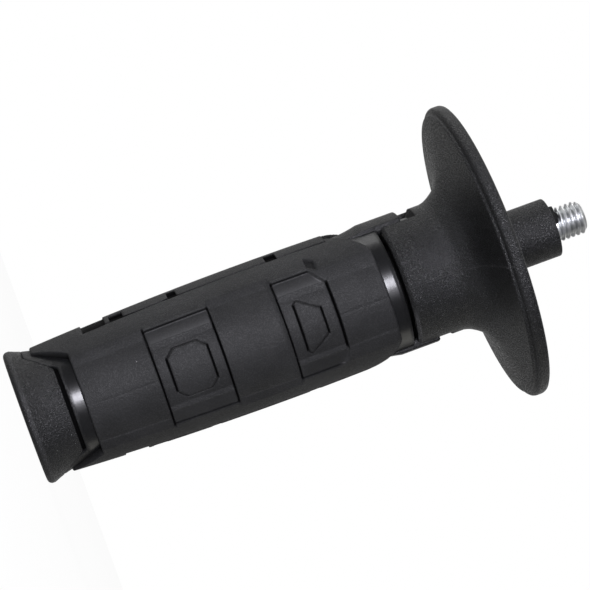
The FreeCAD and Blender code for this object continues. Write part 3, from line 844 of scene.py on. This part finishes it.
@dataclass
class GripCore:
    """Hard core with its collar and the two tabs that reach over the gap."""

    body: HardBody
    cap: ButtCap
    groove: float = 0.9
    tab_half: float = 5.5
    tab_r: float = 16.0
    tab_wall: float = 2.1
    tab_end_z: float = 96.3
    ramp_z: tuple = (79.0, 86.9)
    window_shine: tuple = (11.55, 15.0)
    collar_shine: tuple = (60.0, 89.85)
    bore: tuple = ((11.3, 90.05), (11.2, 89.9), (11.2, 76.0), (8.2, 76.0), (8.2, 72.0), (11.0, 72.0))

    def tab_ramp(self, z: Array) -> Array:
        """Radius of the tabs' back: a hollow curve that climbs off the collar, then level."""
        middle = ((self.body.collar_r + self.tab_r) / 2 - 0.25, sum(self.ramp_z) / 2)
        low, high = (self.body.collar_r, self.ramp_z[0]), (self.tab_r, self.ramp_z[1])
        return arc_radius(np.clip(z, *self.ramp_z), low, middle, high)

    def shell(self) -> Mesh:
        """Body of the core: outside from the joint line up to the mouth, and its stepped bore back down."""
        theta = ring_angles(240, 20.9, 0.8)
        y = 15.4 * np.cos(theta)[None, :]
        open_groove = ramp(np.abs(y) - self.cap.ear_half, 0.3)
        bottom = self.cap.joint_z(theta)[None, :] + self.groove * open_groove + 0.02
        share = np.linspace(0.0, 1.0, 30)[:, None]
        low_z = bottom + (16.0 - bottom) * share
        high_z = lines(16.6, self.body.length, 1.0, (), 0.15, (68.0, 79.0, 89.75, 89.9))[:, None] + 0.0 * y
        z = np.vstack([low_z, high_z])
        r = self.body.radius(z)
        lift = np.maximum(self.tab_ramp(z) - r, 0.0) * ramp(self.tab_half - np.abs(y), 0.3)
        r = r + np.where(z > self.ramp_z[0], lift, 0.0)
        r = r - 0.25 * ramp(z - (self.body.length - 0.12), 0.3) - 0.12 * ramp(0.05 - (z - bottom), 0.15)
        inner = np.array(self.bore)
        ones = np.ones_like(y)
        r = np.vstack([r, inner[:, :1] * ones, 11.0 * ones])
        z = np.vstack([z, inner[:, 1:] * ones, bottom])
        window = band(z, *self.window_shine, 0.9)
        beside_collar = band(z, *self.collar_shine, 0.3)
        under_tab = ramp(self.tab_half + 0.2 - np.abs(y), 0.4) * (z > self.ramp_z[0])
        facing = 0.3 + 0.7 * ramp(np.abs(np.cos(theta))[None, :] - 0.62, 0.5)
        polish = np.maximum(window, beside_collar * (1.0 - under_tab)) * (r > 13.0) * facing
        # Painted shade in the bore and on the bottom face at the groove.
        painted_shade = (r < 11.5) * 1.0
        return Mesh.ring(turn(r, z, theta), Ends.LOOP, painted_shade, 0.0, polish)

    def tab(self) -> Mesh:
        """One tab towards +X: a bent plate with rounded edges, rooted in the collar.

        Across it the radius is level between the inner and outer faces, and the half width at each
        height tapers by a quarter circle at the far end.
        """
        corner, low, rows = 0.35, 84.0, 26
        end = np.radians([25, 50, 70, 90])
        z = np.concatenate([np.linspace(low, self.tab_end_z - corner, rows),
                            self.tab_end_z - corner + corner * np.sin(end)])
        shrink = np.concatenate([np.zeros(rows), corner * (1 - np.cos(end))])
        outer = self.tab_ramp(z) - shrink
        inner_r = self.tab_r - self.tab_wall + 0.0 * z + shrink * 0.5
        s = np.linspace(-1, 1, 25)
        half = self.tab_half - shrink
        span = half[:, None] - corner
        y_out = span * s[None, :]
        turn_a = np.radians(np.linspace(0, 90, 5))[1:]
        drop = corner * (1 - np.cos(turn_a))
        y_right = span + corner * np.sin(turn_a)[None, :]
        half, deep, out = half[:, None], inner_r[:, None], outer[:, None]
        y = np.hstack([y_out, y_right, half, half, -half * np.linspace(-0.8, 0.8, 9), -half, -half,
                       -y_right[:, ::-1]])
        mid = (out + deep) / 2
        r = np.hstack([out + 0 * y_out, out - drop[None, :], mid, deep, deep + np.zeros((1, 9)), deep, mid,
                       out - drop[None, ::-1]])
        x = np.sqrt(np.maximum(r**2 - y**2, 0.0))
        return Mesh.tube(np.stack([x, y, np.broadcast_to(z[:, None], x.shape)], 2))

    def build(self) -> Piece:
        """The core with both tabs as one piece."""
        tab = self.tab()
        return self.shell().joined(tab).joined(tab.turned_by(180)).make("core_shell")


@dataclass
class GuardFlange:
    """Guard moulding: sleeve with its slots, bell, rim, boss, stem and ribs."""

    sleeve_z: float = 91.05
    sleeve_r: float = 15.46
    sleeve_bore: float = 12.0
    slot_half: float = 5.8
    slot_floor: float = 13.7
    slot_end: float = 98.6
    slot_top: float = 99.9
    boss_r: float = 7.07
    boss_end: float = 130.35
    stem_z: float = 60.0
    ribs: int = 8
    rib_width: float = 1.6
    relief_r: float = 4.4
    relief_depth: float = 0.4
    parting: float = 0.3
    seam_half: float = 0.3
    seam_rise: float = 0.07
    neck_z: float = 103.5

    def profile(self) -> Array:
        """Closed profile from the stem's foot, out round the disc and back to the boss, in (r, z)."""
        sleeve = rounded([(self.sleeve_bore, 99.5), (self.sleeve_bore, self.sleeve_z),
                          (self.sleeve_r - 0.62, self.sleeve_z), (self.sleeve_r, self.sleeve_z + 0.9),
                          (self.sleeve_r, 102.0)], 0.15, 3)[1:]
        bell = curve_through([(15.46, 102.6), (15.8, 103.9), (16.6, 105.4), (18.3, 107.5), (21.2, 109.0),
                              (25.0, 110.0), (29.4, 110.75), (33.6, 111.3)], 5)
        rim = np.array([(33.9, 111.33), (34.12, 111.36), (34.26, 111.46), (34.34, 111.75), (34.42, 112.0),
                        (34.62, 112.14), (34.95, 112.2), (35.3, 112.34), (35.55, 112.62), (35.68, 113.0),
                        (35.7, 113.4), (35.7, 114.2), (35.64, 114.6), (35.45, 114.95), (35.15, 115.12),
                        (34.8, 115.15), (34.0, 115.15)])
        front = rounded([(34.0, 115.15), (33.4, 115.15), (33.0, 113.9), (19.5, 111.2), (13.4, 105.8),
                         (11.8, 103.2), (self.boss_r + 0.3, 103.2), (self.boss_r, 104.2)], 0.6)
        boss = rounded([(self.boss_r, 104.2), (self.boss_r, self.boss_end), (4.9, self.boss_end)], 0.32, 5)
        stem = np.array([(0.4, self.stem_z), (6.5, self.stem_z), (6.5, 99.5), (self.sleeve_bore, 99.5)])
        return subdivided(np.vstack([stem, sleeve, bell, rim, front[1:], boss[1:]]), 0.9)

    def flash_rise(self, theta: Array) -> Array:
        """Height above the boss of the plastic that has crept up the stud's first thread on one side.

        Outside its stretch the height is minus the depth of the recess round the stud's foot.
        """
        degrees = (np.degrees(theta) + 180.0) % 360.0 - 180.0
        there = band(degrees, -112.0, -9.0, 14.0)
        uneven = 1.50 + 0.24 * np.sin(theta * 7.0) + 0.10 * np.sin(theta * 17.0 + 1.0)
        return uneven * there - self.relief_depth * (1.0 - there)

    def body(self) -> Mesh:
        """The turned form with its slots pressed in, the recess round the stud and the flash in it.

        A slot lowers the sleeve to its floor, r = floor + (sleeve - floor) * t past its end, t from 0 to 1
        up the ramp.
        """
        p = self.profile()
        theta = ring_angles(264, 22.3, 0.9, self.parting + np.array([-0.45, -0.15, 0.15, 0.45]))
        near = lines(96.8, 101.6, 0.6, (), 0.12, (self.slot_end, self.slot_end + 0.15, self.slot_top))
        on_sleeve = (np.abs(p[:, 0] - self.sleeve_r) < 0.01) & (p[:, 1] > 96.8) & (p[:, 1] < 101.6)
        start = int(np.argmax(on_sleeve))
        extra = np.stack([np.full(len(near), self.sleeve_r), near], 1)
        p = np.vstack([p[:start], extra, p[start:][~on_sleeve[start:]]])
        r, z = p[:, :1] + 0 * theta[None, :], p[:, 1:] + 0 * theta[None, :]
        y = np.abs(15.3 * np.cos(theta))[None, :]
        outer = (p[:, 0] > self.slot_floor) & (p[:, 1] < 103.0) & (p[:, 1] > 91.0)
        inside = ramp(self.slot_half - y, 0.25) * outer[:, None]
        climb = np.clip((z - self.slot_end) / (self.slot_top - self.slot_end), 0.0, 1.0)
        r = r + (r - self.slot_floor) * (climb - 1.0) * inside
        degrees = np.degrees(theta)[None, :]
        on_back = (z > 91.3) & (z < 112.6) & (r > 14.0)
        seam = band(degrees, self.parting - self.seam_half, self.parting + self.seam_half, 0.5) * on_back
        r = r + self.seam_rise * seam * (z < self.neck_z)
        z = z - self.seam_rise * seam * (z > self.neck_z)
        rise = self.flash_rise(theta)[None, :]
        ones = np.ones_like(rise)
        up = np.clip(rise, 0.0, None)
        wide = self.relief_r + 0.35 * np.clip(up, 0.0, 1.0)
        foot_r = np.vstack([wide + 0.25, wide + 0.02, wide - 0.12 * (up > 0), 3.9 * ones, 3.3 * ones,
                            0.4 * ones])
        foot_z = self.boss_end + np.vstack([0.0 * ones, 0.12 * up, rise - 0.15 * (up > 0), rise, rise,
                                            -self.relief_depth * ones])
        tunnel = (z > self.slot_end - 0.2) & (z < self.slot_top)
        polish = 0.8 * inside * (z < self.slot_end + 0.1) * (z > 91.6)
        # Painted highlight along the parting seam and on the lower stretch of the sleeve mouth's edge; painted
        # shade in the slot tunnel and inside the sleeve.
        lit_edge = ramp(degrees - 22.0, 14.0) * ramp(120.0 - degrees, 20.0)
        edge_highlight = 0.55 * seam + 0.9 * lit_edge * band(z, 91.1, 91.9, 0.3) * (r > self.sleeve_r - 0.7)
        painted_shade = 0.5 * inside * tunnel + ((r < 14.5) & (z < 92.0) & (z > 60.5)) * 0.6
        r, z = np.vstack([r, foot_r]), np.vstack([z, foot_z])
        pad = np.zeros_like(foot_r)
        # Painted shade on the stud's foot: the recess round it and the flash in it.
        foot_shade = pad + np.array([0.0, 0.3, 0.6, 0.6, 0.6, 0.6])[:, None]
        return Mesh.ring(turn(r, z, theta), Ends.POLES, np.vstack([np.clip(painted_shade, 0, 1), foot_shade]),
                         np.vstack([np.clip(edge_highlight, 0, 1), pad]), np.vstack([polish, pad]))

    def rib(self) -> Mesh:
        """One rib on the front: an outline in the (r, z) plane given thickness, softened at its top edge."""
        outline = np.array([(6.3, 101.3), (11.8, 101.3), (20.2, 110.1), (34.5, 112.6), (34.5, 114.3),
                            (self.boss_r, 118.7), (6.3, 118.7)])
        top = np.array([0, 0, 0, 0, 1, 1, 1]) * 0.25
        half = self.rib_width / 2
        layers = [(half, top), (half - 0.25, 0 * top), (0.25 - half, 0 * top), (-half, top)]
        return Mesh.tube(np.stack([np.stack([outline[:, 0], np.full(7, y), outline[:, 1] - drop], 1)
                                   for y, drop in layers]))

    def build(self) -> Piece:
        """The guard with its ribs as one piece."""
        whole, rib = self.body(), self.rib()
        for step in range(self.ribs):
            whole = whole.joined(rib.turned_by(360 * (step + 0.5) / self.ribs))
        return whole.make("guard_shell")


@dataclass
class ThreadedStud:
    """Stud with its M8 thread: the radius follows the ridge profile along a helix of one pitch a turn."""

    radius: float = 4.0
    pitch: float = 1.25
    start_z: float = 129.6
    thread_z: float = 130.85
    tip_z: float = 138.25
    chamfer: float = 1.0
    depth: float = 0.70
    rows: int = 150
    columns: int = 96

    def build(self) -> Piece:
        """The stud's outside as one closed surface.

        Radius = full radius less depth times a trapezoid wave of (z / pitch + angle / turn), held under
        the cone of the tip and faded out below the first turn.
        """
        theta = np.linspace(0, 2 * np.pi, self.columns, endpoint=False)[None, :]
        z = np.linspace(self.thread_z, self.tip_z, self.rows)[:, None]
        phase = (z / self.pitch + theta / (2 * np.pi)) % 1.0
        wave = np.clip((np.abs(phase - 0.5) * 2 - 0.12) / 0.72, 0.0, 1.0)
        fade = ramp(z - self.thread_z - 0.55, 0.9)
        r = self.radius - self.depth * (1 - wave) * fade
        r = np.minimum(r, self.radius - np.maximum(z - (self.tip_z - self.chamfer), 0.0))
        ones = np.ones_like(theta)
        low = np.array([(3.6, self.start_z), (3.6, self.thread_z - 0.02), (3.9, self.thread_z)])
        tip = np.array([(2.7, self.tip_z), (1.2, self.tip_z)])
        r = np.vstack([low[:, :1] * ones, r[1:], tip[:, :1] * ones])
        z = np.vstack([low[:, 1:], z[1:], tip[:, 1:]]) * ones
        # Painted shade share in the thread roots.
        root_shade = np.clip((self.radius - 0.25 - r) / 0.35, 0.0, 1.0) * (r > 3.0)
        return Mesh.ring(turn(r, z, theta[0]), Ends.POLES, root_shade).make("stud_thread")


# ---- Studio ----


@dataclass(frozen=True)
class Lamp:
    """Soft area lamp: place and size in metres, power in watts, and its tint."""

    name: str
    place: tuple
    size: tuple
    watts: float
    color: tuple

    def build(self, aim: tuple) -> None:
        """Hangs the lamp so that it faces a point."""
        data = bpy.data.lights.new(self.name, "AREA")
        data.shape = "RECTANGLE"
        data.size, data.size_y = self.size
        data.energy, data.color = self.watts, self.color
        lamp = bpy.data.objects.new(self.name, data)
        lamp.location = self.place
        lamp.rotation_mode = "QUATERNION"
        lamp.rotation_quaternion = (Vector(aim) - Vector(self.place)).to_track_quat("-Z", "Y")
        bpy.context.scene.collection.objects.link(lamp)


@dataclass
class Studio:
    """Camera at the photograph's angle, pale floor, plain soft lamps and a white background."""

    lens: float = 156.0
    sensor: float = 36.0
    distance: float = 0.590
    height: float = 0.00864
    azimuth: float = 8.5
    tip: float = 5.75
    swing: float = 0.53
    roll_right: tuple = (0.939, -0.343)
    nudge: tuple = (0.00014, 0.00015)
    backdrop: tuple = (0.0, 0.83, 0.56)
    front_room: float = 0.08
    floor_seen: float = 0.30
    rear_room: float = 0.62
    given_light: float = 0.25
    floor_half: float = 4.0
    floor_white: float = 0.955
    aim: tuple = (0.0, 0.0, 0.06)
    lamps: tuple = (
        Lamp("back_left", (-0.83, 0.30, 0.20), (0.40, 0.40), 2.1, WHITE),
        Lamp("front", (-0.22, -0.92, 0.14), (0.27, 0.19), 7.6, COOL),
        Lamp("front_wide", (-0.15, -1.0, 0.14), (0.70, 0.45), 1.8, COOL),
        Lamp("back_right", (0.90, 0.20, 0.05), (0.60, 0.60), 1.1, WARM),
        Lamp("top", (-0.35, -0.25, 0.85), (0.5, 0.5), 2.3, WHITE))

    def camera(self) -> None:
        """Camera from three angles: towards the pad, tipped up along the axis, and rolled."""
        a = math.radians(self.azimuth)
        c = np.array([-math.sin(a), -math.cos(a), 0.0])
        v = np.array([-math.cos(a), math.sin(a), 0.0])
        k = np.array([0.0, 0.0, 1.0])
        t, d = math.radians(self.tip), math.radians(self.swing)
        forward = math.sin(t) * math.cos(d) * k - math.cos(t) * math.cos(d) * c + math.sin(d) * v
        xc = math.cos(t) * k + math.sin(t) * c
        yc = -math.sin(t) * math.sin(d) * k + math.cos(t) * math.sin(d) * c + math.cos(d) * v
        across, up = self.roll_right
        right = across * xc + up * yc
        right /= np.linalg.norm(right)
        back = -forward / np.linalg.norm(forward)
        top = np.cross(back, right)
        place = self.distance * c + self.height * k + self.nudge[0] * right + self.nudge[1] * top
        data = bpy.data.cameras.new("photo_camera")
        data.lens, data.sensor_width, data.sensor_fit = self.lens, self.sensor, "HORIZONTAL"
        data.clip_start, data.clip_end = 0.01, 20.0
        camera = bpy.data.objects.new("photo_camera", data)
        turned = Matrix([[right[i], top[i], back[i]] for i in range(3)])
        camera.matrix_world = Matrix.Translation(Vector(place)) @ turned.to_4x4()
        bpy.context.scene.collection.objects.link(camera)
        bpy.context.scene.camera = camera

    def white_for_view(self, n: Nodes) -> Socket:
        """1 for camera, glossy and transmission rays, else 0."""
        path = n.add("ShaderNodeLightPath").outputs
        seen = n.math("MAXIMUM", path["Is Camera Ray"], path["Is Glossy Ray"])
        return n.math("MAXIMUM", seen, path["Is Transmission Ray"])

    def world(self) -> None:
        """White world for what is seen, and a dimmer one for the light it gives."""
        world = bpy.data.worlds.new("white_room")
        n = emptied(world)
        toward = n.add("ShaderNodeVectorMath", operation="DOT_PRODUCT",
                       at_0=n.add("ShaderNodeTexCoord").outputs["Generated"], at_1=self.backdrop)
        behind = n.step(toward.outputs["Value"], 0.35, 0.95)
        side = n.math("ADD", n.times(behind, self.rear_room - self.front_room), self.front_room)
        direct = n.add("ShaderNodeLightPath").outputs["Is Camera Ray"]
        strength = n.math("MAXIMUM", side, direct)
        seen = n.add("ShaderNodeBackground", at_Color=(1, 1, 1, 1), at_Strength=strength)
        given = n.add("ShaderNodeBackground", at_Color=(1, 1, 1, 1), at_Strength=self.given_light)
        mix = n.add("ShaderNodeMixShader", at_0=self.white_for_view(n), at_1=given.outputs[0],
                    at_2=seen.outputs[0])
        n.add("ShaderNodeOutputWorld", at_Surface=mix.outputs[0])
        bpy.context.scene.world = world

    def floor(self) -> None:
        """Pale floor: it looks almost white, and keeps part of the object's shadow."""
        data = bpy.data.meshes.new("floor")
        s = self.floor_half
        data.from_pydata([(-s, -s, 0), (s, -s, 0), (s, s, 0), (-s, s, 0)], [], [(0, 1, 2, 3)])
        floor = bpy.data.objects.new("floor", data)
        bpy.context.scene.collection.objects.link(floor)
        material = bpy.data.materials.new("pale_floor")
        n = emptied(material)
        matte = n.add("ShaderNodeBsdfDiffuse", at_Color=(0.86, 0.86, 0.86, 1))
        direct = n.add("ShaderNodeLightPath").outputs["Is Camera Ray"]
        white = n.add("ShaderNodeEmission", at_Color=(1, 1, 1, 1),
                      at_Strength=n.math("MAXIMUM", direct, self.floor_seen))
        share = n.times(self.white_for_view(n), self.floor_white)
        mix = n.add("ShaderNodeMixShader", at_0=share, at_1=matte.outputs[0], at_2=white.outputs[0])
        n.add("ShaderNodeOutputMaterial", at_Surface=mix.outputs[0])
        data.materials.append(material)

    def build(self) -> None:
        """Camera, world, floor and lamps."""
        self.camera()
        self.world()
        self.floor()
        for lamp in self.lamps:
            lamp.build(self.aim)
        bpy.context.scene.view_settings.view_transform = "Standard"


# ---- The handle ----


def corners(bounds: tuple) -> list:
    """Lowest and highest corner as plain lists."""
    return [[float(v) for v in corner] for corner in bounds]


def dress(piece: Piece, material: bpy.types.Material, body: str, slot: str, *nodes: str) -> None:
    """Gives a new piece its material and the body that it rides on, and hides the nodes that it replaces."""
    piece.data.materials.clear()
    piece.data.materials.append(material)
    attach(piece, body)
    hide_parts(*nodes)
    LOG.info("%s rides on %s", piece.name, body)


def main() -> None:
    """Builds every piece in order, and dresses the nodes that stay."""
    logging.basicConfig(level=logging.INFO, format="%(name)s: %(message)s")
    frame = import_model()
    grain, dust = grain_group(), dust_group()
    soft, hard, core_finish, rubber = (
        finish.build(grain, dust) for finish in (SOFT_COVER, HARD_PLASTIC, CORE_PLASTIC, DAMPER_RUBBER))
    steel = ZINC_STEEL.build(grain)
    body = HardBody()
    cap = ButtCap(body)
    dress(cap.build(), hard, "grip", "hard_plastic", "butt_cap")
    dress(GripCore(body, cap).build(), core_finish, "grip", "core_plastic", "grip_core")
    dress(GripCover().build(), soft, "grip", "soft_cover", "grip_cover")
    dress(GuardFlange().build(), hard, "guard", "hard_plastic", "guard_flange")
    dress(ThreadedStud().build(), steel, "guard", "zinc_steel", "threaded_stud")
    kept = {"front_damper": rubber, "rear_damper": rubber, "retaining_washer": steel, "lock_nut": steel}
    for node, material in kept.items():
        piece = frame["nodes"][node]
        piece.data.materials.clear()
        piece.data.materials.append(material)
        LOG.info("%s keeps its solid", node)
    Studio().build()


if __name__ == "__main__":
    main()
